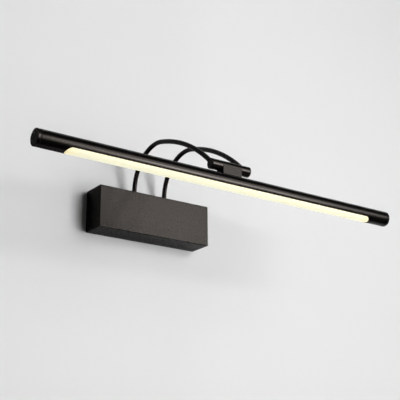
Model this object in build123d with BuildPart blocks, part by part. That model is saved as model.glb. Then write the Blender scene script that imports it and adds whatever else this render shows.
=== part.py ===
from build123d import *
import os
from math import sin, cos, radians, sqrt, degrees

# ---------------------------------------------------------------------------
# Wall picture light: a wall box, two bent arms and a tilting LED bar.
# Millimetres. +X along the bar, +Y into the wall, +Z up.
# Origin: centre of the wall bracket's back face, on the wall.
# ---------------------------------------------------------------------------

# --- driving dimensions ----------------------------------------------------
COVER_W, COVER_D, COVER_H = 166.0, 35.0, 55.0   # wall box, X, Y, Z
COVER_T = 1.2                                   # sheet thickness
COVER_EDGE = 1.15                               # outer edge radius

ARM_X = 23.2            # half the arm spacing
ARM_Y = -18.0           # where the arms rise out of the box
ARM_OD, ARM_ID = 6.0, 4.4
ARM_Z0, ARM_Z1 = 18.0, 27.5                     # straight foot of each arm
ARM_BENDS = (                                   # radius, angle in degrees
    (113.5, 5.0),
    (51.0, 99.64605014),
    (237.0, 29.49411911),
)
ARM_TAIL = 8.0                                  # straight end at the hinge

HINGE_Y, HINGE_Z = -193.0, 17.5                 # tilt axis, along X
TILT = 11.5                                     # bar hangs this far forward
HINGE_ABOVE_BAR = 20.9

BAR_L, BAR_OD, BAR_T = 500.0, 19.4, 1.4
CAP_L = 4.0                                     # visible length of an end cap
CAP_PLUG = 14.0
SEAM = 0.45                                     # chamfers that meet beside each cap

SLOT_L, SLOT_W = 432.5, 14.0                    # window in the bar
SLOT_GAP = 0.2
SLOT_BREAK = 0.2                                # broken edge round the window

BARREL_OD = 12.8
BARREL_OUT, BARREL_IN = 27.8, 13.7              # barrel ends, |X|
BARREL_WEB = 3.3
BARREL_CAVITY = 10.0
BLOCK_HALF = 13.2                               # half length of the hinge block
WASHER_T = 0.5

PIN_OD, PIN_ID, PIN_HALF = 6.0, 3.2, 20.2
PIN_RUN = 0.05                                  # radial running clearance

LEAD_D = 1.6
BOARD_L, BOARD_W, BOARD_T = 420.0, 10.0, 1.0
CARRIER_L = 459.0
CHIP_PITCH, CHIP_COUNT = 7.0, 60

os.makedirs("parts", exist_ok=True)

HW, HH = COVER_W / 2, COVER_H / 2
R_BAR = BAR_OD / 2
R_IN = R_BAR - BAR_T
ct, st = cos(radians(TILT)), sin(radians(TILT))
BAR_Y = HINGE_Y - HINGE_ABOVE_BAR * st
BAR_Z = HINGE_Z - HINGE_ABOVE_BAR * ct
V_DIR = (0, ct, -st)        # across the head, towards the wall
W_DIR = (0, st, ct)         # up the head, from the bar to the hinge


def save(builder, label):
    """Name a finished piece and write it out."""
    builder.part.label = label
    export_step(builder.part, "parts/" + label + ".step")


def hp(x, v, w):
    """A point of the tilted head: x along the bar, v across, w up."""
    return (x, BAR_Y + v * ct + w * st, BAR_Z - v * st + w * ct)


def head_section(x=0.0):
    """Cross-section plane of the head at x; sketch axes are v and w."""
    return Plane(origin=hp(x, 0, 0), x_dir=V_DIR, z_dir=(1, 0, 0))


def head_plan(w):
    """Plan plane of the head at height w; sketch axes are x and v."""
    return Plane(origin=hp(0, 0, w), x_dir=(1, 0, 0), z_dir=W_DIR)


def arm_points():
    """Arcs of the arm centre line in (y, z): start, middle and end of each."""
    th = 0.0
    p = (ARM_Y, ARM_Z1)
    out = []
    for rad, ang in ARM_BENDS:
        a = radians(ang)
        c = (p[0] - rad * cos(th), p[1] - rad * sin(th))
        mid = (c[0] + rad * cos(th + a / 2), c[1] + rad * sin(th + a / 2))
        end = (c[0] + rad * cos(th + a), c[1] + rad * sin(th + a))
        out.append((p, mid, end))
        p, th = end, th + a
    return out, p, (-sin(th), cos(th))


ARCS, TAIL_START, TAIL_DIR = arm_points()


# ---------------------------------------------------------------------------
# Wall side
# ---------------------------------------------------------------------------

# Pressed steel bracket: flat plate on the wall, two threaded tabs at the top
# that take the cover screws, two plain lips at the bottom that locate the
# cover, two level-adjusting slots and a raised dish round the cable hole.
BR_T = 1.5
TAB_X, TAB_W, TAB_D = 64.0, 16.0, 14.0
TAB_TOP = HH - COVER_T - 0.3
SLOT_X = 66.0
CABLE_X, CABLE_Z = -44.0, 11.0
with BuildPart() as wall_bracket:
    with BuildSketch(Plane.XZ):
        RectangleRounded(152, 46, 4)
    extrude(amount=BR_T)
    with BuildSketch(Plane.YZ.offset(TAB_X - TAB_W / 2)) as tab_profile:
        with BuildLine():
            FilletPolyline(
                (0, 20), (0, TAB_TOP), (-TAB_D, TAB_TOP), radius=2.2)
            Line((-TAB_D, TAB_TOP), (-TAB_D, TAB_TOP - BR_T))
            FilletPolyline(
                (-TAB_D, TAB_TOP - BR_T), (-BR_T, TAB_TOP - BR_T),
                (-BR_T, 20), radius=0.7)
            Line((-BR_T, 20), (0, 20))
        make_face()
    extrude(amount=TAB_W)
    with BuildSketch(Plane.YZ.offset(-TAB_X - TAB_W / 2)):
        add(tab_profile.sketch_local)
    extrude(amount=TAB_W)
    for lip_x in (54.0, -54.0):
        with BuildSketch(Plane.YZ.offset(lip_x - 10)):
            with BuildLine():
                FilletPolyline(
                    (0, -20), (0, -TAB_TOP), (-11, -TAB_TOP), radius=2.2)
                Line((-11, -TAB_TOP), (-11, -TAB_TOP + BR_T))
                FilletPolyline(
                    (-11, -TAB_TOP + BR_T), (-BR_T, -TAB_TOP + BR_T),
                    (-BR_T, -20), radius=0.7)
                Line((-BR_T, -20), (0, -20))
            make_face()
        extrude(amount=20)
    # raised dish round the cable hole, so the grommet stays off the wall
    with BuildSketch(Plane.XZ):
        with Locations((CABLE_X, CABLE_Z)):
            Circle(12)
    extrude(amount=3.5)
    with BuildSketch(Plane.XZ):
        with Locations((CABLE_X, CABLE_Z)):
            Circle(10.5)
    extrude(amount=2.0, mode=Mode.SUBTRACT)
    with BuildSketch(Plane.XZ):
        with Locations((CABLE_X, CABLE_Z)):
            Circle(7)
        with Locations((SLOT_X, 0), (-SLOT_X, 0)):
            SlotOverall(9, 4.5)
        with Locations((-23.5, -5), (51.5, -5)):    # driver screws
            Circle(1.52)
        with Locations((-26, 17)):                  # earth screw
            Circle(2.02)
        with Locations((-52, -13), (-38, -13)):     # terminal block pegs
            Circle(1.6)
    extrude(amount=5, mode=Mode.SUBTRACT)
    with BuildSketch(Plane.XY.offset(TAB_TOP + 1)):
        with Locations((TAB_X, -8), (-TAB_X, -8)):  # cover screws
            Circle(2.02)
    extrude(amount=-4, mode=Mode.SUBTRACT)
save(wall_bracket, "wall_bracket")

# Rubber grommet in the dish: two flanges and a groove.
GROMMET_BORE = 4.0
with BuildPart() as cable_grommet:
    with BuildSketch(Plane(origin=(CABLE_X, 0, CABLE_Z), x_dir=(1, 0, 0),
                           z_dir=(0, 0, 1))):
        with BuildLine():
            Polyline(
                (GROMMET_BORE, -0.6), (9.0, -0.6), (9.0, -2.0), (6.98, -2.0),
                (6.98, -3.5), (9.0, -3.5), (8.4, -5.4), (GROMMET_BORE, -5.4),
                (GROMMET_BORE, -0.6))
        make_face()
    revolve(axis=Axis((CABLE_X, 0, CABLE_Z), (0, 1, 0)))
save(cable_grommet, "cable_grommet")

# Cover: five-sided rectangular shell with small rounded edges.
with BuildPart() as cover_shell:
    with BuildSketch(Plane.XZ):
        Rectangle(COVER_W, COVER_H)
    extrude(amount=COVER_D)
    fillet(
        cover_shell.edges().filter_by(Axis.Y)
        + cover_shell.faces().sort_by(Axis.Y)[0].edges(), COVER_EDGE)
    with BuildSketch(Plane.XZ):
        Rectangle(COVER_W - 2 * COVER_T, COVER_H - 2 * COVER_T)
    extrude(amount=COVER_D - COVER_T, mode=Mode.SUBTRACT)
    with BuildSketch(Plane.XY.offset(HH + 1)):
        with Locations((ARM_X, ARM_Y), (-ARM_X, ARM_Y)):
            Circle(4.1)
        with Locations((TAB_X, -8), (-TAB_X, -8)):
            Circle(2.15)
    extrude(amount=-4, mode=Mode.SUBTRACT)
save(cover_shell, "cover_shell")

# Two pan-head M4 cover screws with a cross recess.
with BuildPart() as cover_screws:
    with Locations((TAB_X, -8, HH + 1.2), (-TAB_X, -8, HH + 1.2)):
        Cylinder(3.6, 2.4)
    fillet(cover_screws.faces().sort_by(Axis.Z)[-1].edges()
           + cover_screws.faces().sort_by(Axis.Z)[-2].edges(), 1.0)
    with Locations((TAB_X, -8, HH - 3.5), (-TAB_X, -8, HH - 3.5)):
        Cylinder(2.0, 7.0)
    with Locations((TAB_X, -8, HH + 1.9), (-TAB_X, -8, HH + 1.9)):
        Box(3.6, 0.8, 1.4, mode=Mode.SUBTRACT)
        Box(0.8, 3.6, 1.4, mode=Mode.SUBTRACT)
save(cover_screws, "cover_screws")

# ---------------------------------------------------------------------------
# Arms and what holds them in the box
# ---------------------------------------------------------------------------


def build_arm(x):
    """Bent steel tube from inside the box to the barrel's cavity."""
    with BuildPart() as arm:
        with BuildLine() as path:
            Line((x, ARM_Y, ARM_Z0), (x, ARM_Y, ARM_Z1))
            for a, m, b in ARCS:
                ThreePointArc((x, *a), (x, *m), (x, *b))
            Line((x, *TAIL_START), (x, HINGE_Y, HINGE_Z))
        with BuildSketch(Plane.XY.offset(ARM_Z0)):
            with Locations((x, ARM_Y)):
                Circle(ARM_OD / 2)
                Circle(ARM_ID / 2, mode=Mode.SUBTRACT)
        sweep(path=path.line)
        # the end is cut to the round cavity of the barrel
        with BuildSketch(Plane.YZ.offset(x - 6)):
            with Locations((HINGE_Y, HINGE_Z)):
                Circle(BARREL_CAVITY / 2 + 0.02)
        extrude(amount=12, mode=Mode.SUBTRACT)
    length = sum(e.length for e in path.edges())
    area = 3.14159265 * (ARM_OD ** 2 - ARM_ID ** 2) / 4
    print("arm centre line %.1f mm, section x length %.0f, volume %.0f"
          % (length, area * length, arm.part.volume))
    return arm


arm_left = build_arm(-ARM_X)
save(arm_left, "arm_left")
arm_right = build_arm(ARM_X)
save(arm_right, "arm_right")

# Flanged ferrule brazed round each arm's foot; its shank passes the cover's
# top and a nut inside pulls it down.
FERRULE_LOW = 17.0
with BuildPart() as arm_ferrules:
    for x in (-ARM_X, ARM_X):
        with BuildSketch(Plane(origin=(x, ARM_Y, 0), x_dir=(1, 0, 0),
                               z_dir=(0, -1, 0))):
            with BuildLine():
                Polyline(
                    (2.2, FERRULE_LOW), (3.7, FERRULE_LOW), (4.0, 17.4),
                    (4.0, HH), (5.5, HH), (5.5, HH + 1.7), (4.8, HH + 2.4),
                    (3.06, HH + 2.4), (3.06, ARM_Z0), (2.2, ARM_Z0),
                    (2.2, FERRULE_LOW))
            make_face()
        revolve(axis=Axis((x, ARM_Y, 0), (0, 0, 1)))
save(arm_ferrules, "arm_ferrules")

PLATE_T = 2.0
PLATE_TOP = HH - COVER_T
with BuildPart() as arm_support_plate:
    with BuildSketch(Plane.XY.offset(PLATE_TOP)):
        with Locations((0, ARM_Y)):
            RectangleRounded(72, 26, 3)
        with Locations((ARM_X, ARM_Y), (-ARM_X, ARM_Y)):
            Circle(4.1, mode=Mode.SUBTRACT)
    extrude(amount=-PLATE_T)
save(arm_support_plate, "arm_support_plate")

with BuildPart() as arm_lock_washers:
    with BuildSketch(Plane.XY.offset(PLATE_TOP - PLATE_T)):
        with Locations((ARM_X, ARM_Y), (-ARM_X, ARM_Y)):
            Circle(6.5)
            Circle(4.1, mode=Mode.SUBTRACT)
    extrude(amount=-1.0)
save(arm_lock_washers, "arm_lock_washers")

NUT_TOP = PLATE_TOP - PLATE_T - 1.0
with BuildPart() as arm_nuts:
    with BuildSketch(Plane.XY.offset(NUT_TOP)):
        with Locations((ARM_X, ARM_Y), (-ARM_X, ARM_Y)):
            RegularPolygon(6.5, 6, major_radius=False)
            Circle(4.02, mode=Mode.SUBTRACT)
    extrude(amount=-4.0)
    chamfer(arm_nuts.faces().sort_by(Axis.Z)[0].outer_wire().edges()
            + arm_nuts.faces().sort_by(Axis.Z)[1].outer_wire().edges(), 0.5)
save(arm_nuts, "arm_nuts")

# ---------------------------------------------------------------------------
# Driver: case, lid, board and its large components
# ---------------------------------------------------------------------------
DRV_X0, DRV_X1 = -20.0, 48.0
DRV_Z0, DRV_Z1 = -22.0, 12.0
DRV_CX, DRV_CZ = (DRV_X0 + DRV_X1) / 2, (DRV_Z0 + DRV_Z1) / 2
DRV_W, DRV_H = DRV_X1 - DRV_X0, DRV_Z1 - DRV_Z0
DRV_FRONT, DRV_BACK, DRV_T = -26.0, -3.5, 1.6
LEAD_Y = -8.6
BOARD_Y = -7.6          # component face of the driver's board

with BuildPart() as driver_case:
    with BuildSketch(Plane.XZ.offset(-DRV_BACK)):
        with Locations((DRV_CX, DRV_CZ)):
            RectangleRounded(DRV_W, DRV_H, 1.5)
    extrude(amount=DRV_BACK - DRV_FRONT)
    fillet(driver_case.faces().sort_by(Axis.Y)[0].edges(), 1.0)
    with BuildSketch(Plane.XZ.offset(-DRV_BACK)):
        with Locations((DRV_CX, DRV_CZ)):
            Rectangle(DRV_W - 2 * DRV_T, DRV_H - 2 * DRV_T)
    extrude(amount=DRV_BACK - DRV_FRONT - DRV_T, mode=Mode.SUBTRACT)
    # posts that the board rests on
    with BuildSketch(Plane.XZ.offset(-DRV_FRONT - DRV_T)):
        with Locations((DRV_CX, DRV_CZ)):
            with GridLocations(DRV_W - 2 * DRV_T - 3.6,
                               DRV_H - 2 * DRV_T - 3.6, 2, 2):
                Rectangle(3.8, 3.8)
    extrude(amount=-(BOARD_Y - DRV_FRONT - DRV_T))
    # lead exits
    with BuildSketch(Plane.YZ.offset(DRV_X0 - 1)):
        with Locations((LEAD_Y, -14.6), (LEAD_Y, -10.8)):
            Circle(1.0)
    extrude(amount=3.5, mode=Mode.SUBTRACT)
    with BuildSketch(Plane.YZ.offset(DRV_X1 + 1)):
        with Locations((LEAD_Y, 5.0), (LEAD_Y, -1.0)):
            Circle(1.0)
    extrude(amount=-3.5, mode=Mode.SUBTRACT)
save(driver_case, "driver_case")

with BuildPart() as driver_lid:
    with BuildSketch(Plane.XZ.offset(BR_T)):
        with Locations((DRV_CX, DRV_CZ)):
            RectangleRounded(DRV_W, DRV_H, 1.5)
        with Locations((DRV_CX, -5)):
            RectangleRounded(DRV_W + 14, 8, 2)
    extrude(amount=-DRV_BACK - BR_T)
    with BuildSketch(Plane.XZ.offset(BR_T)):
        with Locations((-23.5, -5), (51.5, -5)):
            Circle(1.7)
    extrude(amount=4, mode=Mode.SUBTRACT)
save(driver_lid, "driver_lid")

with BuildPart() as driver_screws:
    for x in (-23.5, 51.5):
        with BuildSketch(Plane(origin=(x, 0, -5), x_dir=(1, 0, 0),
                               z_dir=(0, 0, 1))):
            with BuildLine():
                Polyline((0, -0.2), (1.5, -0.2), (1.5, -3.5), (2.7, -3.5),
                         (2.5, -4.8), (1.6, -5.4), (0, -5.4), (0, -0.2))
            make_face()
        revolve(axis=Axis((x, 0, -5), (0, 1, 0)))
    with Locations((-23.5, -5.2, -5), (51.5, -5.2, -5)):
        Box(3.0, 1.2, 0.6, mode=Mode.SUBTRACT)
        Box(0.6, 1.2, 3.0, mode=Mode.SUBTRACT)
save(driver_screws, "driver_screws")

with BuildPart() as driver_board:
    with BuildSketch(Plane.XZ.offset(-BOARD_Y)):
        with Locations((DRV_CX, DRV_CZ)):
            Rectangle(DRV_W - 2 * DRV_T - 0.6, DRV_H - 2 * DRV_T - 0.6)
    extrude(amount=-1.6)
save(driver_board, "driver_board")

# Transformer: ferrite core round a wound bobbin, as one closed solid.
with BuildPart() as driver_transformer:
    with BuildSketch(Plane.XZ.offset(-BOARD_Y)):
        with Locations((12, -5)):
            Rectangle(15, 13)
    extrude(amount=3)
    with BuildSketch(Plane.XZ.offset(-BOARD_Y + 3)):
        with Locations((12, -5)):
            Rectangle(16, 9)
            Circle(6.4)
    extrude(amount=9)
    with BuildSketch(Plane.XZ.offset(-BOARD_Y + 12)):
        with Locations((12, -5)):
            Rectangle(16, 13)
    extrude(amount=2.4)
save(driver_transformer, "driver_transformer")

# Electrolytic capacitors standing on the board.
with BuildPart() as driver_capacitors:
    with BuildSketch(Plane.XZ.offset(-BOARD_Y)):
        with Locations((-7, -8)):
            Circle(5)
        with Locations((32, -9)):
            Circle(4)
    extrude(amount=15)
    fillet(driver_capacitors.faces().sort_by(Axis.Y)[0].edges()
           + driver_capacitors.faces().sort_by(Axis.Y)[1].edges(), 0.6)
save(driver_capacitors, "driver_capacitors")

# ---------------------------------------------------------------------------
# Terminal block and mains side leads
# ---------------------------------------------------------------------------
TB_X0, TB_X1 = -56.0, -34.0
TB_Z0, TB_Z1 = -23.0, -3.0
TB_FRONT = -15.0
POLES = (-19.5, -13.0, -6.5)
with BuildPart() as terminal_block:
    with BuildSketch(Plane.XZ.offset(BR_T)):
        with Locations(((TB_X0 + TB_X1) / 2, (TB_Z0 + TB_Z1) / 2)):
            RectangleRounded(TB_X1 - TB_X0, TB_Z1 - TB_Z0, 0.8)
    extrude(amount=-TB_FRONT - BR_T)
    # gaps between the poles, at the front
    with BuildSketch(Plane.XZ.offset(-TB_FRONT)):
        with Locations((-45, -16.25), (-45, -9.75)):
            Rectangle(24, 0.8)
    extrude(amount=-3.0, mode=Mode.SUBTRACT)
    # pole bores along X, screw wells along Y
    with BuildSketch(Plane.YZ.offset(TB_X0 - 1)):
        with Locations(*[(LEAD_Y, z) for z in POLES]):
            Circle(2.3)
    extrude(amount=24, mode=Mode.SUBTRACT)
    with BuildSketch(Plane.XZ.offset(-TB_FRONT + 1)):
        with Locations(*[(x, z) for x in (-51, -39) for z in POLES]):
            Circle(1.75)
    extrude(amount=-1 + (TB_FRONT - LEAD_Y), mode=Mode.SUBTRACT)
    # two pegs that snap into the bracket
    with BuildSketch(Plane.XZ.offset(0.2)):
        with Locations((-52, -13), (-38, -13)):
            Circle(1.5)
    extrude(amount=BR_T + 0.8)
save(terminal_block, "terminal_block")

# Brass tube in each pole, tapped for its two screws.
with BuildPart() as terminal_inserts:
    with BuildSketch(Plane.YZ.offset(TB_X0 + 1.5)):
        with Locations(*[(LEAD_Y, z) for z in POLES]):
            Circle(2.28)
            Circle(1.45, mode=Mode.SUBTRACT)
    extrude(amount=TB_X1 - TB_X0 - 3.0)
    with BuildSketch(Plane.XZ.offset(-TB_FRONT + 1)):
        with Locations(*[(x, z) for x in (-51, -39) for z in POLES]):
            Circle(1.27)
    extrude(amount=-1 + (TB_FRONT - LEAD_Y), mode=Mode.SUBTRACT)
save(terminal_inserts, "terminal_inserts")

# Six slotted terminal screws, driven onto the leads' level.
with BuildPart() as terminal_screws:
    for x in (-51.0, -39.0):
        for z in POLES:
            with BuildSketch(Plane(origin=(x, 0, z), x_dir=(1, 0, 0),
                                   z_dir=(0, 0, 1))):
                with BuildLine():
                    Polyline((0, LEAD_Y - 0.9), (1.25, LEAD_Y - 0.9),
                             (1.25, LEAD_Y - 2.6), (1.65, LEAD_Y - 2.6),
                             (1.65, -13.4), (0, -13.4),
                             (0, LEAD_Y - 0.9))
                make_face()
            revolve(axis=Axis((x, 0, z), (0, 1, 0)))
    with Locations(*[(x, -13.2, z) for x in (-51, -39) for z in POLES]):
        Box(4.0, 0.8, 0.5, mode=Mode.SUBTRACT)
save(terminal_screws, "terminal_screws")


def build_lead(name, points, radii, dia):
    """Round insulated lead: straight runs joined by tangent arcs."""
    with BuildPart() as lead:
        with BuildLine() as path:
            FilletPolyline(*points, radius=radii)
        d = Vector(*points[1]) - Vector(*points[0])
        with BuildSketch(Plane(origin=points[0], z_dir=d)):
            Circle(dia / 2)
        sweep(path=path.line)
    length = sum(e.length for e in path.edges())
    print("%s: length %.1f mm, radii %s, section x length %.1f, volume %.1f"
          % (name, length, radii, 3.14159265 * dia * dia / 4 * length,
             lead.part.volume))
    return lead


live_lead = build_lead(
    "live_lead",
    [(-37.2, LEAD_Y, -19.5), (-30.5, LEAD_Y, -19.5), (-25.0, LEAD_Y, -14.6),
     (-15.0, LEAD_Y, -14.6)], [4.5, 4.5], LEAD_D)
save(live_lead, "live_lead")
neutral_lead = build_lead(
    "neutral_lead",
    [(-37.2, LEAD_Y, -13.0), (-30.5, LEAD_Y, -13.0), (-25.0, LEAD_Y, -10.8),
     (-15.0, LEAD_Y, -10.8)], [5.0, 5.0], LEAD_D)
save(neutral_lead, "neutral_lead")
earth_lead = build_lead(
    "earth_lead",
    [(-37.2, LEAD_Y, -6.5), (-29.5, LEAD_Y, -6.5), (-29.5, LEAD_Y, 2.0),
     (-26.0, -3.2, 3.4), (-26.0, -3.2, 8.2)], [3.0, 2.2, 2.0], LEAD_D)
save(earth_lead, "earth_lead")

# Ring terminal: flat ring under the earth screw, barrel crimped on the lead.
with BuildPart() as earth_ring_terminal:
    with BuildSketch(Plane.XZ.offset(BR_T)):
        with Locations((-26, 17)):
            Circle(4.0)
        with Locations((-26, 13)):
            Rectangle(3.2, 4)
        with Locations((-26, 17)):
            Circle(2.1, mode=Mode.SUBTRACT)
    extrude(amount=0.8)
    with BuildSketch(Plane.XY.offset(12.6)):
        with Locations((-26, -3.2)):
            Circle(1.6)
            Circle(LEAD_D / 2, mode=Mode.SUBTRACT)
    extrude(amount=-5.8)
save(earth_ring_terminal, "earth_ring_terminal")

with BuildPart() as earth_screw:
    with BuildSketch(Plane(origin=(-26, 0, 17), x_dir=(1, 0, 0),
                           z_dir=(0, 0, 1))):
        with BuildLine():
            Polyline((0, -0.2), (2.0, -0.2), (2.0, -2.3), (3.6, -2.3),
                     (3.3, -4.0), (2.2, -4.6), (0, -4.6), (0, -0.2))
        make_face()
    revolve(axis=Axis((-26, 0, 17), (0, 1, 0)))
    with Locations((-26, -4.4, 17)):
        Box(4.0, 1.2, 0.8, mode=Mode.SUBTRACT)
        Box(0.8, 1.2, 4.0, mode=Mode.SUBTRACT)
save(earth_screw, "earth_screw")

# ---------------------------------------------------------------------------
# Hinge: a barrel brazed on each arm, the head's block between them
# ---------------------------------------------------------------------------


def build_barrel(side):
    """Round barrel: thin web with the pin's bore, cavity open outwards."""
    with BuildPart() as barrel:
        with BuildSketch(Plane.YZ.offset(side * BARREL_IN)):
            with Locations((HINGE_Y, HINGE_Z)):
                Circle(BARREL_OD / 2)
        extrude(amount=side * (BARREL_OUT - BARREL_IN))
        chamfer(barrel.edges().filter_by(GeomType.CIRCLE)
                .sort_by(Axis.X)[-1 if side > 0 else 0], 0.5)
        with BuildSketch(Plane.YZ.offset(side * (BARREL_IN - 1))):
            with Locations((HINGE_Y, HINGE_Z)):
                Circle(PIN_OD / 2 + PIN_RUN)
        extrude(amount=side * 8, mode=Mode.SUBTRACT)
        with BuildSketch(Plane.YZ.offset(side * (BARREL_IN + BARREL_WEB))):
            with Locations((HINGE_Y, HINGE_Z)):
                Circle(BARREL_CAVITY / 2)
        extrude(amount=side * 20, mode=Mode.SUBTRACT)
        # the arm enters through the wall
        with BuildSketch(Plane(
                origin=(side * ARM_X, HINGE_Y, HINGE_Z), x_dir=(1, 0, 0),
                z_dir=(0, -TAIL_DIR[0], -TAIL_DIR[1]))):
            Circle(ARM_OD / 2 + 0.03)
        extrude(amount=12, mode=Mode.SUBTRACT)
    return barrel


hinge_barrel_left = build_barrel(-1)
save(hinge_barrel_left, "hinge_barrel_left")
hinge_barrel_right = build_barrel(1)
save(hinge_barrel_right, "hinge_barrel_right")

# Plugs pressed into the barrels' outer ends.
with BuildPart() as barrel_plugs:
    for side in (-1, 1):
        with BuildSketch(Plane.YZ.offset(side * (BARREL_OUT - 1.4))):
            with Locations((HINGE_Y, HINGE_Z)):
                Circle(BARREL_CAVITY / 2 - 0.02)
        extrude(amount=side * 1.3)
save(barrel_plugs, "barrel_plugs")

# Two friction washers between the block and the barrels.
with BuildPart() as friction_washers:
    for side in (-1, 1):
        with BuildSketch(Plane.YZ.offset(side * BLOCK_HALF)):
            with Locations((HINGE_Y, HINGE_Z)):
                Circle(BARREL_OD / 2 - 0.25)
                Circle(PIN_OD / 2 + 0.1, mode=Mode.SUBTRACT)
        extrude(amount=side * WASHER_T)
save(friction_washers, "friction_washers")

# Hinge block: rounded top concentric with the pin, front and back faces
# upright at rest, foot hollowed to sit on the bar.
BLOCK_FOOT_Z = BAR_Z + 7.0
with BuildPart() as hinge_block:
    with BuildSketch(Plane.YZ.offset(-BLOCK_HALF)):
        with Locations((HINGE_Y, HINGE_Z)):
            Circle(BARREL_OD / 2)
        with Locations((HINGE_Y, (HINGE_Z + BLOCK_FOOT_Z) / 2)):
            Rectangle(BARREL_OD, HINGE_Z - BLOCK_FOOT_Z)
        with Locations((BAR_Y, BAR_Z)):
            Circle(R_BAR, mode=Mode.SUBTRACT)
    extrude(amount=2 * BLOCK_HALF)
    with BuildSketch(head_section(-BLOCK_HALF - 1)):
        with Locations((0, HINGE_ABOVE_BAR)):
            Circle(PIN_OD / 2 + 0.02)
    extrude(amount=2 * BLOCK_HALF + 2, mode=Mode.SUBTRACT)
    # channel for the leads, and two blind screw holes from the foot
    with BuildSketch(head_plan(5.0)):
        Circle(2.5)
    extrude(amount=HINGE_ABOVE_BAR - 5.0, mode=Mode.SUBTRACT)
    with BuildSketch(head_plan(5.0)):
        with Locations((8.5, 0), (-8.5, 0)):
            Circle(1.52)
    extrude(amount=11.2, mode=Mode.SUBTRACT)
    # grub screw hole from the back to the pin
    with BuildSketch(Plane(origin=hp(7.0, 0, HINGE_ABOVE_BAR),
                           x_dir=(1, 0, 0), z_dir=V_DIR)):
        Circle(1.52)
    extrude(amount=10, mode=Mode.SUBTRACT)
save(hinge_block, "hinge_block")

# Hollow pin, locked in the block; the leads pass down through its window.
with BuildPart() as hinge_pin:
    with BuildSketch(Plane.YZ.offset(-PIN_HALF)):
        with Locations((HINGE_Y, HINGE_Z)):
            Circle(PIN_OD / 2)
            Circle(PIN_ID / 2, mode=Mode.SUBTRACT)
    extrude(amount=2 * PIN_HALF)
    with BuildSketch(head_plan(HINGE_ABOVE_BAR)):
        SlotOverall(6.4, 2.4)
    extrude(amount=-4.0, mode=Mode.SUBTRACT)
save(hinge_pin, "hinge_pin")

with BuildPart() as pin_grub_screw:
    with BuildSketch(Plane(origin=hp(7.0, PIN_OD / 2, HINGE_ABOVE_BAR),
                           x_dir=(1, 0, 0), z_dir=V_DIR)):
        Circle(1.5)
    extrude(amount=3.0)
    with BuildSketch(Plane(origin=hp(7.0, PIN_OD / 2 + 3.0, HINGE_ABOVE_BAR),
                           x_dir=(1, 0, 0), z_dir=V_DIR)):
        RegularPolygon(0.75, 6, major_radius=False)
    extrude(amount=-1.5, mode=Mode.SUBTRACT)
save(pin_grub_screw, "pin_grub_screw")

# Dished spring washers that hold the head where it is set.
WEB_END = BARREL_IN + BARREL_WEB
with BuildPart() as spring_washers:
    for side in (-1, 1):
        with BuildSketch(Plane(origin=(0, HINGE_Y, HINGE_Z),
                               x_dir=(1, 0, 0), z_dir=(0, -1, 0))):
            with BuildLine():
                Polyline(
                    (side * (WEB_END + 0.05), 4.7),
                    (side * (WEB_END + 0.35), 3.1),
                    (side * (WEB_END + 0.85), 3.1),
                    (side * (WEB_END + 0.55), 4.7),
                    (side * (WEB_END + 0.05), 4.7))
            make_face()
        revolve(axis=Axis((0, HINGE_Y, HINGE_Z), (1, 0, 0)))
save(spring_washers, "spring_washers")

# Round slotted nuts on the pin's ends.
with BuildPart() as hinge_nuts:
    for side in (-1, 1):
        with BuildSketch(Plane.YZ.offset(side * (WEB_END + 0.9))):
            with Locations((HINGE_Y, HINGE_Z)):
                Circle(4.7)
                Circle(PIN_OD / 2 + 0.01, mode=Mode.SUBTRACT)
                Rectangle(9.6, 1.2, mode=Mode.SUBTRACT)
        extrude(amount=side * 1.0)
        with BuildSketch(Plane.YZ.offset(side * (WEB_END + 0.9))):
            with Locations((HINGE_Y, HINGE_Z)):
                Circle(4.7)
                Circle(PIN_OD / 2 + 0.01, mode=Mode.SUBTRACT)
        extrude(amount=side * 1.2)
save(hinge_nuts, "hinge_nuts")

# ---------------------------------------------------------------------------
# Bar: tube, end caps, diffuser, carrier, LED board
# ---------------------------------------------------------------------------
TUBE_HALF = BAR_L / 2 - CAP_L
with BuildPart() as bar_tube:
    with BuildSketch(head_section(-TUBE_HALF)):
        Circle(R_BAR)
        Circle(R_IN, mode=Mode.SUBTRACT)
    extrude(amount=2 * TUBE_HALF)
    # chamfered ends, which leave a fine V groove beside each cap
    chamfer([e for e in bar_tube.edges().filter_by(GeomType.CIRCLE)
             if abs(e.radius - R_BAR) < 0.01], SEAM)
    # round-ended window along the underside
    with BuildSketch(head_plan(0)):
        SlotOverall(SLOT_L, SLOT_W)
    extrude(amount=-R_BAR - 2, mode=Mode.SUBTRACT)
    # the window's outer edge is broken all round
    window_rim = [
        e for e in bar_tube.edges()
        if max(abs((e @ t).X) for t in (0, 0.5, 1)) < SLOT_L / 2 + 0.5
        and all(abs(sqrt(((e @ t).Y - BAR_Y) ** 2 + ((e @ t).Z - BAR_Z) ** 2)
                    - R_BAR) < 0.01 for t in (0, 0.25, 0.5, 0.75, 1))]
    chamfer(window_rim, SLOT_BREAK)
    # lead hole and screw holes on the hinge side
    with BuildSketch(head_plan(5.0)):
        Circle(3.0)
        with Locations((8.5, 0), (-8.5, 0)):
            Circle(1.6)
    extrude(amount=8, mode=Mode.SUBTRACT)
save(bar_tube, "bar_tube")


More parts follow.
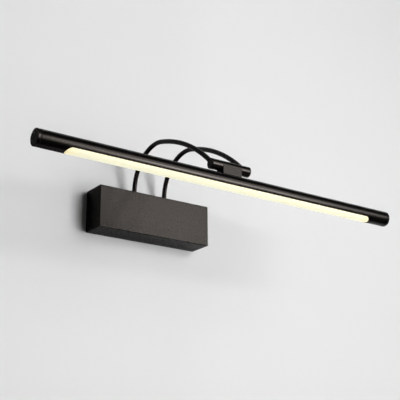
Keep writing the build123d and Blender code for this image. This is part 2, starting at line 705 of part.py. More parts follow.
def build_cap(side):
    """End cap: disc with chamfered rims and a plug inside the tube."""
    with BuildPart() as cap:
        with BuildSketch(head_section(side * TUBE_HALF)):
            Circle(R_BAR)
        extrude(amount=side * CAP_L)
        chamfer(cap.edges().filter_by(GeomType.CIRCLE)
                .sort_by(Axis.X)[-1 if side > 0 else 0], 0.5)
        chamfer(cap.edges().filter_by(GeomType.CIRCLE)
                .sort_by(Axis.X)[0 if side > 0 else -1], SEAM)
        with BuildSketch(head_section(side * TUBE_HALF)):
            Circle(R_IN - 0.03)
        extrude(amount=-side * CAP_PLUG)
        with BuildSketch(head_section(side * (TUBE_HALF - CAP_PLUG))):
            Circle(R_IN - 1.8)
        extrude(amount=side * (CAP_PLUG - 1.5), mode=Mode.SUBTRACT)
    return cap


end_cap_left = build_cap(-1)
save(end_cap_left, "end_cap_left")
end_cap_right = build_cap(1)
save(end_cap_right, "end_cap_right")

# Opal diffuser: a curved strip inside the tube with a raised land that
# fills the window and stops a little short of the tube's outside.
DIFF_IN, DIFF_FLANGE = 7.0, R_IN - 0.12
DIFF_RECESS = 0.15
DIFF_ANG = 62.0
with BuildPart() as diffuser:
    with BuildSketch(head_section(-228)):
        with BuildLine():
            CenterArc((0, 0), DIFF_FLANGE, -90 - DIFF_ANG, 2 * DIFF_ANG)
            CenterArc((0, 0), DIFF_IN, -90 - DIFF_ANG, 2 * DIFF_ANG)
            for s in (-1, 1):
                a = radians(-90 + s * DIFF_ANG)
                Line((DIFF_IN * cos(a), DIFF_IN * sin(a)),
                     (DIFF_FLANGE * cos(a), DIFF_FLANGE * sin(a)))
        make_face()
    extrude(amount=456)
    with BuildSketch(head_plan(-4.2)):
        SlotOverall(SLOT_L - 2 * SLOT_GAP, SLOT_W - 2 * SLOT_GAP)
    extrude(amount=-7.0)
    # bring the land back to the bar's own curve, inside and out
    with BuildSketch(head_section(-240)):
        Circle(R_BAR + 4)
        Circle(R_BAR - DIFF_RECESS, mode=Mode.SUBTRACT)
    extrude(amount=480, mode=Mode.SUBTRACT)
    with BuildSketch(head_section(-240)):
        Circle(DIFF_IN)
    extrude(amount=480, mode=Mode.SUBTRACT)
save(diffuser, "diffuser")

# Aluminium carrier: flat web that holds the board, two curved legs that
# keep the diffuser pressed into the window.
CAR_OUT, CAR_IN, CAR_LOW, CAR_TOP = 8.1, 7.0, 1.0, 2.2
LEG_ANG = 63.5
with BuildPart() as led_carrier:
    with BuildSketch(head_section(-CARRIER_L / 2)):
        with BuildLine():
            y_top = sqrt(CAR_OUT ** 2 - CAR_TOP ** 2)
            y_low = sqrt(CAR_IN ** 2 - CAR_LOW ** 2)
            a = radians(-90 + LEG_ANG)
            po = (CAR_OUT * cos(a), CAR_OUT * sin(a))
            pi_ = (CAR_IN * cos(a), CAR_IN * sin(a))
            Line((-y_top, CAR_TOP), (y_top, CAR_TOP))
            ThreePointArc((y_top, CAR_TOP), (CAR_OUT, 0), po)
            Line(po, pi_)
            ThreePointArc(pi_, (CAR_IN, 0), (y_low, CAR_LOW))
            Line((y_low, CAR_LOW), (-y_low, CAR_LOW))
            ThreePointArc((-y_low, CAR_LOW), (-CAR_IN, 0),
                          (-pi_[0], pi_[1]))
            Line((-pi_[0], pi_[1]), (-po[0], po[1]))
            ThreePointArc((-po[0], po[1]), (-CAR_OUT, 0), (-y_top, CAR_TOP))
        make_face()
    extrude(amount=CARRIER_L)
    # windows for the leads, tapped holes for the board screws
    with BuildSketch(head_plan(0)):
        with Locations((18.4, 0), (-18.4, 0)):
            SlotOverall(5.0, 3.4)
        with Locations((70, 3.2), (-70, -3.2), (175, 3.2), (-175, -3.2)):
            Circle(1.02)
    extrude(amount=5, mode=Mode.SUBTRACT)
save(led_carrier, "led_carrier")

with BuildPart() as led_board:
    with BuildSketch(head_plan(CAR_LOW)):
        Rectangle(BOARD_L, BOARD_W)
        with Locations((70, 3.2), (-70, -3.2), (175, 3.2), (-175, -3.2)):
            Circle(1.1, mode=Mode.SUBTRACT)
    extrude(amount=-BOARD_T)
save(led_board, "led_board")

with BuildPart() as led_chips:
    with BuildSketch(head_plan(CAR_LOW - BOARD_T)):
        with GridLocations(CHIP_PITCH, 1, CHIP_COUNT, 1):
            Rectangle(3.5, 2.8)
    extrude(amount=-0.8)
save(led_chips, "led_chips")

with BuildPart() as board_screws:
    for x, v in ((70, 3.2), (-70, -3.2), (175, 3.2), (-175, -3.2)):
        with BuildSketch(head_plan(CAR_LOW - BOARD_T)):
            with Locations((x, v)):
                Circle(1.5)
        extrude(amount=-1.0)
        with BuildSketch(head_plan(CAR_LOW - BOARD_T)):
            with Locations((x, v)):
                Circle(1.0)
        extrude(amount=2.5)
save(board_screws, "board_screws")

# Two screws from inside the bar into the hinge block.
with BuildPart() as saddle_screws:
    with BuildSketch(head_plan(7.8)):
        with Locations((8.5, 0), (-8.5, 0)):
            Circle(2.75)
    extrude(amount=-1.8)
    with BuildSketch(head_plan(7.8)):
        with Locations((8.5, 0), (-8.5, 0)):
            Circle(1.5)
    extrude(amount=7.9)
    with BuildSketch(head_plan(6.0)):
        with Locations((8.5, 0), (-8.5, 0)):
            RegularPolygon(1.0, 6, major_radius=False)
    extrude(amount=1.2, mode=Mode.SUBTRACT)
save(saddle_screws, "saddle_screws")

# Grommet that guards the leads where they enter the bar.
with BuildPart() as lead_grommet:
    with BuildSketch(head_plan(6.2)):
        Circle(3.9)
        Circle(2.2, mode=Mode.SUBTRACT)
    extrude(amount=0.9)
    with BuildSketch(head_plan(6.2)):
        Circle(2.95)
        Circle(2.2, mode=Mode.SUBTRACT)
    extrude(amount=2.95)
save(lead_grommet, "lead_grommet")

# ---------------------------------------------------------------------------
# Low-voltage leads. Each is in two lengths that meet on the tilt axis, where
# the lead twists as the head turns.
# ---------------------------------------------------------------------------
JOIN_X = 20.4
TURN_R = 2.6


def build_arm_lead(name, x, feed, radii):
    """Lead from the driver up through one arm to the tilt axis."""
    side = 1 if x > 0 else -1
    d = Vector(0, *TAIL_DIR)
    axis_pt = Vector(x, HINGE_Y, HINGE_Z)
    turn_in = axis_pt - d * TURN_R
    inward = Vector(-side, 0, 0)
    turn_out = axis_pt + inward * TURN_R
    centre = turn_in + inward * TURN_R
    mid = centre + (axis_pt - centre).normalized() * TURN_R
    with BuildPart() as lead:
        with BuildLine() as path:
            FilletPolyline(*feed, (x, ARM_Y, ARM_Z0), radius=radii)
            Line((x, ARM_Y, ARM_Z0), (x, ARM_Y, ARM_Z1))
            for a, m, b in ARCS:
                ThreePointArc((x, *a), (x, *m), (x, *b))
            Line((x, *TAIL_START), tuple(turn_in))
            ThreePointArc(tuple(turn_in), tuple(mid), tuple(turn_out))
            Line(tuple(turn_out), (side * JOIN_X, HINGE_Y, HINGE_Z))
        start = Vector(*feed[1]) - Vector(*feed[0])
        with BuildSketch(Plane(origin=feed[0], z_dir=start)):
            Circle(LEAD_D / 2)
        sweep(path=path.line)
    length = sum(e.length for e in path.edges())
    print("%s: length %.1f mm, radii %s, section x length %.1f, volume %.1f"
          % (name, length, radii, 3.14159265 * LEAD_D ** 2 / 4 * length,
             lead.part.volume))
    return lead


arm_lead_right = build_arm_lead(
    "arm_lead_right", ARM_X,
    [(42.0, LEAD_Y, 5.0), (53.5, LEAD_Y, 5.0), (54.5, -16.0, 8.0),
     (50.0, -18.0, 14.6), (ARM_X, ARM_Y, 14.6)],
    [3.4, 3.0, 3.4, 2.6])
save(arm_lead_right, "arm_lead_right")
arm_lead_left = build_arm_lead(
    "arm_lead_left", -ARM_X,
    [(42.0, LEAD_Y, -1.0), (56.5, LEAD_Y, -1.0), (58.0, -20.0, 4.0),
     (53.0, -22.5, 14.6), (-14.0, -22.5, 14.6), (-ARM_X, ARM_Y, 14.9)],
    [3.6, 4.0, 4.0, 4.0, 2.4])
save(arm_lead_left, "arm_lead_left")


def build_head_lead(name, side):
    """Lead from the tilt axis down through the block to the LED board."""
    return build_lead(
        name,
        [hp(side * JOIN_X, 0, HINGE_ABOVE_BAR),
         hp(side * 1.0, 0, HINGE_ABOVE_BAR),
         hp(side * 1.0, 0, 3.7),
         hp(side * 18.4, 0, 3.7),
         hp(side * 18.4, 0, CAR_LOW)],
        [2.4, 3.0, 2.2], LEAD_D)


head_lead_left = build_head_lead("head_lead_left", -1)
save(head_lead_left, "head_lead_left")
head_lead_right = build_head_lead("head_lead_right", 1)
save(head_lead_right, "head_lead_right")
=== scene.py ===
import math

import bpy
from mathutils import Matrix, Vector

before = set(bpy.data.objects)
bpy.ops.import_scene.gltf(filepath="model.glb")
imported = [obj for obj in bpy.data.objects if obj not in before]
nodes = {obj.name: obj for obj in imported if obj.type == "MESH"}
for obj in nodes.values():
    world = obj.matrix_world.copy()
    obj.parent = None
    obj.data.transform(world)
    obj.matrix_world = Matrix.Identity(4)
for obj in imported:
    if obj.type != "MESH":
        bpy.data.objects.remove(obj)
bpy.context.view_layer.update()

scene = bpy.context.scene

# ------------------------------------------------------------------ camera
YAW, PITCH, ROLL = math.radians(35.4496), math.radians(18.4975), math.radians(-0.4248)
look = Vector((math.sin(YAW) * math.cos(PITCH), math.cos(YAW) * math.cos(PITCH), math.sin(PITCH)))
right = Vector((math.cos(YAW), -math.sin(YAW), 0.0))
up = right.cross(look)
right2 = right * math.cos(ROLL) + up * math.sin(ROLL)
up2 = -right * math.sin(ROLL) + up * math.cos(ROLL)
cam_data = bpy.data.cameras.new("camera")
cam_data.sensor_width = 36.0
cam_data.lens = 82.8115
cam_data.clip_start, cam_data.clip_end = 0.05, 100.0
cam = bpy.data.objects.new("camera", cam_data)
cam.matrix_world = Matrix((
    (right2.x, up2.x, -look.x, -0.612470),
    (right2.y, up2.y, -look.y, -0.993658),
    (right2.z, up2.z, -look.z, -0.358735),
    (0.0, 0.0, 0.0, 1.0),
))
scene.collection.objects.link(cam)
scene.camera = cam

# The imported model's plain materials give their names up to the ones made below.
for m in list(bpy.data.materials):
    m.name = "packed-" + m.name

scene.view_settings.view_transform = "Standard"
scene.view_settings.look = "None"
scene.view_settings.exposure = 0.0
scene.view_settings.gamma = 1.0


# ------------------------------------------------------------------ node helpers
class Nodes:
    """A material and short ways to add nodes to it."""

    def __init__(self, name):
        self.mat = bpy.data.materials.new(name)
        self.mat.use_nodes = True
        self.nt = self.mat.node_tree
        self.nt.nodes.clear()
        self.out = self.nt.nodes.new("ShaderNodeOutputMaterial")
        self.bsdf = self.nt.nodes.new("ShaderNodeBsdfPrincipled")
        self.nt.links.new(self.bsdf.outputs[0], self.out.inputs[0])
        self.coord = self.nt.nodes.new("ShaderNodeTexCoord")

    def set(self, **values):
        for key, value in values.items():
            socket = self.bsdf.inputs[key.replace("_", " ")]
            socket.default_value = value
        return self

    def link(self, a, b):
        self.nt.links.new(a, b)

    def place(self, scale=(1, 1, 1), rotation=(0, 0, 0), location=(0, 0, 0)):
        m = self.nt.nodes.new("ShaderNodeMapping")
        m.inputs["Scale"].default_value = scale
        m.inputs["Rotation"].default_value = rotation
        m.inputs["Location"].default_value = location
        self.link(self.coord.outputs["Object"], m.inputs["Vector"])
        return m.outputs[0]

    def noise(self, scale, detail=3.0, rough=0.55, vector=None, distortion=0.0):
        n = self.nt.nodes.new("ShaderNodeTexNoise")
        n.inputs["Scale"].default_value = scale
        n.inputs["Detail"].default_value = detail
        n.inputs["Roughness"].default_value = rough
        n.inputs["Distortion"].default_value = distortion
        self.link(vector or self.coord.outputs["Object"], n.inputs["Vector"])
        return n.outputs["Fac"]

    def voronoi(self, scale, feature="F1", vector=None, randomness=1.0):
        n = self.nt.nodes.new("ShaderNodeTexVoronoi")
        n.feature = feature
        n.inputs["Scale"].default_value = scale
        n.inputs["Randomness"].default_value = randomness
        self.link(vector or self.coord.outputs["Object"], n.inputs["Vector"])
        return n

    def range(self, value, a, b, lo, hi, smooth=False):
        m = self.nt.nodes.new("ShaderNodeMapRange")
        if smooth:
            m.interpolation_type = "SMOOTHSTEP"
        m.inputs["From Min"].default_value = a
        m.inputs["From Max"].default_value = b
        m.inputs["To Min"].default_value = lo
        m.inputs["To Max"].default_value = hi
        self.link(value, m.inputs["Value"])
        return m.outputs[0]

    def math(self, op, a, b=None):
        m = self.nt.nodes.new("ShaderNodeMath")
        m.operation = op
        for i, v in enumerate((a, b)):
            if v is None:
                continue
            if isinstance(v, (int, float)):
                m.inputs[i].default_value = v
            else:
                self.link(v, m.inputs[i])
        return m.outputs[0]

    def axes(self, vector=None):
        s = self.nt.nodes.new("ShaderNodeSeparateXYZ")
        self.link(vector or self.coord.outputs["Object"], s.inputs[0])
        return s.outputs

    def mix(self, fac, a, b):
        m = self.nt.nodes.new("ShaderNodeMix")
        m.data_type = "RGBA"
        for i, v in ((0, fac), (6, a), (7, b)):
            if isinstance(v, (int, float)):
                m.inputs[i].default_value = v
            elif isinstance(v, tuple):
                m.inputs[i].default_value = (*v, 1.0)
            else:
                self.link(v, m.inputs[i])
        return m.outputs[2]

    def bump(self, height, strength, distance, normal=None):
        b = self.nt.nodes.new("ShaderNodeBump")
        b.inputs["Strength"].default_value = strength
        b.inputs["Distance"].default_value = distance
        self.link(height, b.inputs["Height"])
        if normal is not None:
            self.link(normal, b.inputs["Normal"])
        return b.outputs[0]

    def colour(self, value):
        self.link(value, self.bsdf.inputs["Base Color"])

    def rough(self, value):
        self.link(value, self.bsdf.inputs["Roughness"])

    def normal(self, value):
        self.link(value, self.bsdf.inputs["Normal"])


WARM = (1.0, 0.885, 0.80, 1.0)
BLACK_IOR = 1.45
SEAM_X = 0.246


def satin_black(name, dark, light, rough, rough_swing, peel_scale, peel, tint=WARM, ior=BLACK_IOR):
    """Black powder coat: a fine orange peel, a slow drift of gloss and a faint change of depth in the black."""
    n = Nodes(name)
    n.set(IOR=ior, Specular_Tint=tint)
    n.colour(n.mix(n.range(n.noise(55.0, 4.0), 0.35, 0.7, 0.0, 1.0), dark, light))
    slow = n.noise(16.0, 3.0, 0.5)
    fine = n.noise(700.0, 2.0, 0.5)
    r = n.math("ADD", n.range(slow, 0.3, 0.7, rough - rough_swing, rough + rough_swing), n.range(fine, 0.3, 0.7, -0.015, 0.015))
    n.rough(r)
    n.normal(n.bump(n.noise(peel_scale, 2.0, 0.45), peel, 0.00004))
    return n.mat


def seam(n):
    """One inside the fine groove where each end cap meets the tube: cut after anodising, dead matt and dark."""
    x = n.math("ABSOLUTE", n.axes()[0])
    off = n.math("ABSOLUTE", n.math("SUBTRACT", x, SEAM_X))
    return n.range(off, 0.00048, 0.00060, 1.0, 0.0)


def anodised(name, dark, light, rough, lines, tint=WARM, ior=BLACK_IOR, axis="X"):
    """Black anodised aluminium: drawn lines along the extrusion, with a fine matt etch over them."""
    n = Nodes(name)
    n.set(IOR=ior, Specular_Tint=tint)
    n.colour(n.mix(n.range(n.noise(40.0, 4.0), 0.35, 0.7, 0.0, 1.0), dark, light))
    scale = {"X": (6.0, 900.0, 900.0), "Y": (900.0, 6.0, 900.0), "Z": (900.0, 900.0, 6.0)}[axis]
    drawn = n.noise(1.0, 3.0, 0.6, n.place(scale))
    etch = n.noise(1500.0, 2.0, 0.5)
    slow = n.noise(9.0, 2.0, 0.5)
    gloss = n.math("ADD", n.range(slow, 0.3, 0.7, rough - 0.02, rough + 0.02), n.range(drawn, 0.25, 0.75, -0.03, 0.03))
    n.rough(n.math("MAXIMUM", gloss, seam(n)))
    first = n.bump(drawn, lines, 0.00002)
    n.normal(n.bump(etch, 0.10, 0.00002, first))
    return n.mat


def turned(name, dark, light, rough, centre, axis, tint=WARM, ior=BLACK_IOR):
    """A turned, anodised end: fine concentric tool marks round the axis of the part."""
    n = Nodes(name)
    n.set(IOR=ior, Specular_Tint=tint)
    n.colour(n.mix(n.range(n.noise(60.0, 4.0), 0.35, 0.7, 0.0, 1.0), dark, light))
    x, y, z = n.axes(n.place(location=tuple(-c for c in centre)))
    a, b = {"X": (y, z), "Y": (x, z), "Z": (x, y)}[axis]
    r = n.math("SQRT", n.math("ADD", n.math("MULTIPLY", a, a), n.math("MULTIPLY", b, b)))
    wave = n.math("SINE", n.math("MULTIPLY", r, 2 * math.pi / 0.00035))
    uneven = n.noise(220.0, 2.0)
    marks = n.math("MULTIPLY", wave, uneven)
    gloss = n.math("ADD", n.range(n.noise(30.0, 2.0), 0.3, 0.7, rough - 0.02, rough + 0.02), n.range(uneven, 0.3, 0.7, -0.02, 0.02))
    n.rough(n.math("MAXIMUM", gloss, seam(n)))
    n.normal(n.bump(marks, 0.12, 0.00002))
    return n.mat


def moulded(name, a, b, rough, grain=900.0, depth=0.12, ior=1.46, swing=0.04, sheen=0.0):
    """Moulded plastic or rubber: a spark-eroded grain and a slow change of tone."""
    n = Nodes(name)
    n.set(IOR=ior, Sheen_Weight=sheen)
    n.colour(n.mix(n.range(n.noise(70.0, 4.0), 0.3, 0.7, 0.0, 1.0), a, b))
    n.rough(n.range(n.noise(180.0, 3.0), 0.3, 0.7, rough - swing, rough + swing))
    n.normal(n.bump(n.noise(grain, 3.0, 0.6), depth, 0.00005))
    return n.mat


def metal(name, a, b, rough, swing, scale=(300.0, 300.0, 300.0), bump=0.08, spangle=None):
    """Bare or plated metal: grain along one direction, with a patchy tone where it is plated."""
    n = Nodes(name)
    n.set(Metallic=1.0)
    if spangle:
        v = n.voronoi(spangle)
        tone = n.math("ADD", n.math("MULTIPLY", v.outputs["Color"], 0.45), n.math("MULTIPLY", n.noise(90.0, 4.0), 0.55))
        n.colour(n.mix(n.range(tone, 0.25, 0.75, 0.0, 1.0), a, b))
    else:
        n.colour(n.mix(n.range(n.noise(80.0, 4.0), 0.3, 0.7, 0.0, 1.0), a, b))
    grain = n.noise(1.0, 4.0, 0.6, n.place(scale))
    n.rough(n.math("ADD", n.range(n.noise(45.0, 3.0), 0.3, 0.7, rough - swing, rough + swing), n.range(grain, 0.3, 0.7, -0.04, 0.04)))
    n.normal(n.bump(grain, bump, 0.00003))
    return n.mat


# ------------------------------------------------------------------ the diffuser
# The light slot looks down and a little forward; ACROSS runs over its width, out of the centre of the tube.
TILT = math.radians(11.5)
TUBE_Y, TUBE_Z = -0.19717, -0.00298
ACROSS = Vector((0.0, math.cos(TILT), -math.sin(TILT)))


def opal():
    """Opal acrylic, lit from behind: whitest along its middle, warmer towards the slot's edges and its two ends."""
    n = Nodes("opal_diffuser")
    n.set(IOR=1.49, Roughness=0.42)
    x, y, z = n.axes(n.place(location=(0.0, -TUBE_Y, -TUBE_Z)))
    v = n.math("ADD", n.math("MULTIPLY", y, ACROSS.y), n.math("MULTIPLY", z, ACROSS.z))
    edge = n.range(n.math("ABSOLUTE", v), 0.0060, 0.0076, 0.0, 1.0, True)
    end = n.range(n.math("ABSOLUTE", x), 0.196, 0.2165, 0.0, 1.0, True)
    warm = n.math("MAXIMUM", n.math("MULTIPLY", edge, 0.55), n.math("MULTIPLY", end, 0.85))
    # the row of chips behind the opal, 7 mm apart, still shows as a very faint beat
    beat = n.math("SINE", n.math("MULTIPLY", x, 2 * math.pi / 0.007))
    warm = n.math("ADD", warm, n.math("MULTIPLY", beat, 0.015))
    cloud = n.range(n.noise(60.0, 2.0), 0.3, 0.7, -0.012, 0.012)
    warm = n.math("ADD", warm, cloud)
    glow = n.mix(warm, (1.0, 0.965, 0.66), (1.0, 0.86, 0.43))
    n.colour(n.mix(n.range(n.noise(60.0, 3.0), 0.3, 0.7, 0.0, 1.0), (0.615, 0.60, 0.50), (0.63, 0.615, 0.512)))
    n.link(glow, n.bsdf.inputs["Emission Color"])
    # painted light: the opal's glow is made stronger towards the slot's rear edge, to make up for the key light falling
    # less on that lower side
    n.link(n.range(v, -0.0035, 0.0065, 0.62, 0.87, True), n.bsdf.inputs["Emission Strength"])
    n.normal(n.bump(n.noise(1100.0, 2.0), 0.03, 0.00003))
    return n.mat


def phosphor():
    n = Nodes("led_phosphor")
    n.set(IOR=1.5)
    n.colour(n.mix(n.range(n.noise(2500.0, 3.0), 0.3, 0.7, 0.0, 1.0), (0.75, 0.55, 0.10), (0.85, 0.66, 0.16)))
    n.rough(n.range(n.noise(1500.0, 2.0), 0.3, 0.7, 0.40, 0.55))
    n.link(n.mix(n.noise(1500.0, 2.0), (1.0, 0.90, 0.55), (1.0, 0.95, 0.68)), n.bsdf.inputs["Emission Color"])
    n.set(Emission_Strength=3.0)
    return n.mat


BLACK_A, BLACK_B = (0.0012, 0.0010, 0.0009), (0.0024, 0.0020, 0.0018)
M = {
    "black_coated_steel": satin_black("black_coated_steel", BLACK_A, BLACK_B, 0.27, 0.015, 1300.0, 0.06),
    "arm_coat": satin_black("arm_coat", BLACK_A, BLACK_B, 0.25, 0.02, 1500.0, 0.10),
    "black_anodised": anodised("black_anodised", BLACK_A, BLACK_B, 0.24, 0.06),
    "black_anodised_caps": turned("black_anodised_caps", BLACK_A, BLACK_B, 0.26, (0.0, TUBE_Y, TUBE_Z), "X", ior=1.60),
    "black_screws": metal("black_screws", (0.015, 0.014, 0.013), (0.03, 0.028, 0.026), 0.38, 0.06, (500.0, 500.0, 500.0), 0.1),
    "black_plastic": moulded("black_plastic", (0.010, 0.0098, 0.0095), (0.016, 0.0155, 0.015), 0.46),
    "black_rubber": moulded("black_rubber", (0.012, 0.012, 0.012), (0.022, 0.021, 0.020), 0.68, 500.0, 0.25, 1.52, 0.07, 0.2),
    "opal_diffuser": opal(),
    "zinc_steel": metal("zinc_steel", (0.50, 0.52, 0.54), (0.66, 0.67, 0.68), 0.34, 0.06, (120.0, 120.0, 120.0), 0.06, spangle=420.0),
    "plain_steel": metal("plain_steel", (0.46, 0.45, 0.44), (0.58, 0.57, 0.56), 0.30, 0.05),
    "raw_aluminium": metal("raw_aluminium", (0.70, 0.71, 0.72), (0.80, 0.80, 0.81), 0.33, 0.04, (8.0, 900.0, 900.0), 0.10),
    "white_plastic": moulded("white_plastic", (0.72, 0.72, 0.70), (0.80, 0.80, 0.78), 0.42),
    "green_board": moulded("green_board", (0.010, 0.11, 0.035), (0.016, 0.16, 0.05), 0.38, 600.0, 0.15),
    "white_board": moulded("white_board", (0.78, 0.78, 0.76), (0.86, 0.86, 0.84), 0.34, 600.0, 0.10),
    "led_phosphor": phosphor(),
    "yellow_tape": moulded("yellow_tape", (0.62, 0.42, 0.04), (0.74, 0.52, 0.07), 0.40, 300.0, 0.18),
    "capacitor_sleeve": moulded("capacitor_sleeve", (0.010, 0.012, 0.030), (0.016, 0.019, 0.045), 0.30),
    "brass": metal("brass", (0.60, 0.42, 0.17), (0.74, 0.54, 0.24), 0.30, 0.05),
    "tinned_copper": metal("tinned_copper", (0.62, 0.61, 0.59), (0.74, 0.73, 0.71), 0.32, 0.05),
    "brown_insulation": moulded("brown_insulation", (0.075, 0.030, 0.012), (0.11, 0.045, 0.018), 0.40),
    "blue_insulation": moulded("blue_insulation", (0.020, 0.11, 0.40), (0.03, 0.15, 0.50), 0.40),
    "green_insulation": moulded("green_insulation", (0.02, 0.20, 0.03), (0.03, 0.26, 0.045), 0.40),
    "black_insulation": moulded("black_insulation", (0.012, 0.012, 0.012), (0.02, 0.02, 0.02), 0.42),
    "red_insulation": moulded("red_insulation", (0.32, 0.015, 0.012), (0.42, 0.022, 0.018), 0.40),
}
OVERRIDE = {"arm_left": "arm_coat", "arm_right": "arm_coat"}

for name, obj in nodes.items():
    for s in obj.material_slots:
        s.material = M[OVERRIDE.get(name) or s.material.name.removeprefix("packed-")]
for m in list(bpy.data.materials):
    if m.users == 0 or m.name.startswith("packed-"):
        bpy.data.materials.remove(m)

# ------------------------------------------------------------------ stage: wall and floor
import bmesh


WALL_Y, FLOOR_Z = 0.0004, -1.30
WALL_IN_GLOSS_LEFT, WALL_IN_GLOSS, WALL_IN_GLOSS_RIGHT = (0.08, 0.08, 0.08), (0.22, 0.22, 0.22), (0.42, 0.42, 0.42)


def plane(name, corners):
    bm = bmesh.new()
    bm.faces.new([bm.verts.new(c) for c in corners])
    me = bpy.data.meshes.new(name)
    bm.to_mesh(me)
    bm.free()
    o = bpy.data.objects.new(name, me)
    scene.collection.objects.link(o)
    return o


def wall_paint():
    """Matt pale paint, seen from the room only: from behind the wall is clear, so that the back of the part shows."""
    n = Nodes("wall_paint")
    n.set(Roughness=0.95, Specular_IOR_Level=0.0)
    geo = n.nt.nodes.new("ShaderNodeNewGeometry")
    path = n.nt.nodes.new("ShaderNodeLightPath")
    x, y, z = n.axes()
    paint = n.mix(n.range(n.noise(3.0, 3.0), 0.3, 0.7, 0.0, 1.0), (0.805, 0.805, 0.805), (0.820, 0.820, 0.820))
    # Painted light: the wall's colour is made darker towards the right and paler towards the left, standing in for how
    # the lamps fall across it.
    paint = n.mix(n.range(x, 0.13, 0.62, 0.0, 1.0), paint, (0.70, 0.70, 0.70))
    paint = n.mix(n.range(x, 0.05, -0.30, 0.0, 1.0), paint, (0.90, 0.90, 0.90))
    # Painted reflection: rays that reflect off the part see the wall in a darker grey than the camera sees it, darkest
    # on the left and palest on the right.
    gloss_wall_painted_dark = n.mix(n.range(x, -0.13, -0.07, 0.0, 1.0), WALL_IN_GLOSS_LEFT, WALL_IN_GLOSS)
    gloss_wall_painted_dark = n.mix(n.range(x, -0.03, 0.25, 0.0, 1.0), gloss_wall_painted_dark, WALL_IN_GLOSS_RIGHT)
    n.colour(n.mix(path.outputs["Is Glossy Ray"], paint, gloss_wall_painted_dark))
    # Far from the part, where the lights fall off, the wall stays as pale as near it.
    far = n.range(n.math("SQRT", n.math("ADD", n.math("MULTIPLY", x, x), n.math("MULTIPLY", z, z))), 0.65, 2.6, 0.0, 0.70, True)
    far = n.math("MAXIMUM", far, n.range(x, -0.36, -1.2, 0.0, 0.50))
    n.link(n.math("MULTIPLY", far, path.outputs["Is Camera Ray"]), n.bsdf.inputs["Emission Strength"])
    n.set(Emission_Color=(1.0, 1.0, 1.0, 1.0))
    n.normal(n.bump(n.noise(260.0, 3.0, 0.6), 0.04, 0.0003))
    # Behind the box the wall is clear to what leaves the bracket's back, so that the back is lit too.
    behind = n.math("MULTIPLY", n.math("LESS_THAN", n.math("ABSOLUTE", x), 0.0828), n.math("LESS_THAN", n.math("ABSOLUTE", z), 0.0273))
    near = n.math("MULTIPLY", n.math("LESS_THAN", path.outputs["Ray Length"], 0.0015), behind)
    clear = n.math("MAXIMUM", geo.outputs["Backfacing"], near)
    mix = n.nt.nodes.new("ShaderNodeMixShader")
    through = n.nt.nodes.new("ShaderNodeBsdfTransparent")
    n.link(clear, mix.inputs[0])
    n.link(n.bsdf.outputs[0], mix.inputs[1])
    n.link(through.outputs[0], mix.inputs[2])
    n.link(mix.outputs[0], n.out.inputs[0])
    return n.mat


def floor_paint():
    n = Nodes("floor_paint")
    n.set(Roughness=0.9, IOR=1.25)
    tone = n.mix(n.range(n.noise(1.5, 4.0), 0.3, 0.7, 0.0, 1.0), (0.74, 0.74, 0.735), (0.78, 0.78, 0.775))
    n.colour(tone)
    n.link(tone, n.bsdf.inputs["Emission Color"])
    n.set(Emission_Strength=0.85)
    return n.mat


wall = plane("wall", [(-40, WALL_Y, FLOOR_Z), (40, WALL_Y, FLOOR_Z), (40, WALL_Y, 25), (-40, WALL_Y, 25)])
wall.data.materials.append(wall_paint())
floor = plane("floor", [(-40, -40, FLOOR_Z), (40, -40, FLOOR_Z), (40, 40, FLOOR_Z), (-40, 40, FLOOR_Z)])
floor.data.materials.append(floor_paint())
floor.visible_glossy = False
floor.visible_diffuse = False


# ------------------------------------------------------------------ lights
def area(name, aim, azimuth, elevation, distance, width, height, power, diffuse=True, glossy=True, roll=0.0, colour=(1, 1, 1)):
    """A rectangular softbox: azimuth 0 is in front (-Y) and 90 on the right (+X), as seen from aim."""
    a, e = math.radians(azimuth), math.radians(elevation)
    way = Vector((math.sin(a) * math.cos(e), -math.cos(a) * math.cos(e), math.sin(e)))
    data = bpy.data.lights.new(name, "AREA")
    data.shape = "RECTANGLE"
    data.size, data.size_y = width, height
    data.energy = power
    data.color = colour
    o = bpy.data.objects.new(name, data)
    o.rotation_mode = "QUATERNION"
    o.rotation_quaternion = way.to_track_quat("Z", "Y") @ Matrix.Rotation(math.radians(roll), 4, "Z").to_quaternion()
    o.location = Vector(aim) + way * distance
    o.visible_camera = False
    o.visible_diffuse = diffuse
    o.visible_glossy = glossy
    o.visible_transmission = False
    scene.collection.objects.link(o)
    return o


# What lights the wall and throws the soft shadows: a tall softbox right of the camera, and weaker ones round it.
area("key", (0, 0, 0), 18.5, 4, 2.0, 0.94, 0.80, 25.4, glossy=False)
area("high", (0, 0, 0), 24, 20, 2.0, 0.70, 0.64, 7.3, glossy=False)
area("low", (0, 0, 0), 29, -12, 2.0, 0.58, 0.64, 7.6, glossy=False)
area("lowest", (0, 0, 0), 22, -29, 2.0, 0.50, 0.50, 2.6, glossy=False)
area("left", (0, 0, 0), -25, 2, 2.0, 0.60, 0.80, 0.5, glossy=False)
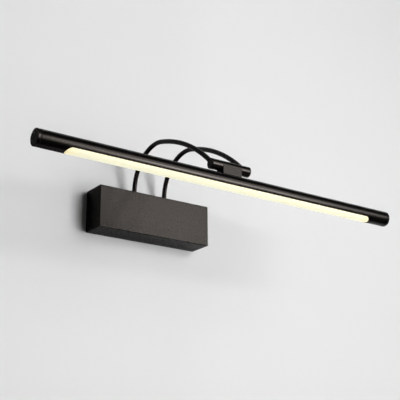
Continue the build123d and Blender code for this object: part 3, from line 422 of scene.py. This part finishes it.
# What the black finishes mirror: a tall strip in front on the right, and low, wide ones for the other sides.
area("strip_core", (0, -0.12, 0), 32, 2, 4.0, 1.27, 0.84, 28, diffuse=False)
area("strip_left", (0, -0.12, 0), 20, 14, 4.0, 0.42, 0.84, 8.5, diffuse=False)
area("strip_mid", (0, -0.12, 0), 33, 14, 4.0, 0.42, 0.84, 4.5, diffuse=False)
area("strip_right", (0, -0.12, 0), 46, 14, 4.0, 0.60, 0.84, 5.0, diffuse=False)
area("strip_high", (0, -0.12, 0), 33, 26, 4.0, 1.50, 0.84, 8.5, diffuse=False)
area("strip_low", (0, -0.12, 0), 29, -10, 4.0, 1.27, 0.84, 6.0, diffuse=False)
area("near_left", (0, -0.12, 0), 26, -1, 1.31, 0.14, 0.36, 1.2, diffuse=False)
area("near_right", (0, -0.12, 0), 38, 6, 1.31, 0.14, 0.40, 0.6, diffuse=False)
area("top_left", (0, -0.12, 0), -57, 42, 3.0, 1.3, 1.3, 9, diffuse=False)
area("low_left", (0, -0.12, 0), -38, -22, 3.0, 2.2, 1.1, 6, diffuse=False)
area("low_right", (0, -0.12, 0), 88, -12, 3.0, 1.6, 0.9, 1.5, diffuse=False)
area("behind", (0, -0.05, 0), 205, 35, 2.6, 2.0, 1.4, 70)

world = bpy.data.worlds.new("studio")
scene.world = world
world.use_nodes = True
wt = world.node_tree
wt.nodes.clear()
w_out = wt.nodes.new("ShaderNodeOutputWorld")
w_path = wt.nodes.new("ShaderNodeLightPath")
w_coord = wt.nodes.new("ShaderNodeTexCoord")
w_sep = wt.nodes.new("ShaderNodeSeparateXYZ")
wt.links.new(w_coord.outputs["Generated"], w_sep.inputs[0])
w_back = wt.nodes.new("ShaderNodeMapRange")
w_back.inputs["From Min"].default_value, w_back.inputs["From Max"].default_value = 0.10, 0.22
w_back.inputs["To Min"].default_value, w_back.inputs["To Max"].default_value = 0.008, 0.55
wt.links.new(w_sep.outputs["Y"], w_back.inputs["Value"])
w_seen = wt.nodes.new("ShaderNodeBackground")
w_seen.inputs["Color"].default_value = (0.78, 0.78, 0.78, 1)
w_lit = wt.nodes.new("ShaderNodeBackground")
w_lit.inputs["Color"].default_value = (1, 1, 1, 1)
wt.links.new(w_back.outputs[0], w_lit.inputs["Strength"])
w_mix = wt.nodes.new("ShaderNodeMixShader")
wt.links.new(w_path.outputs["Is Camera Ray"], w_mix.inputs[0])
wt.links.new(w_lit.outputs[0], w_mix.inputs[1])
wt.links.new(w_seen.outputs[0], w_mix.inputs[2])
wt.links.new(w_mix.outputs[0], w_out.inputs[0])
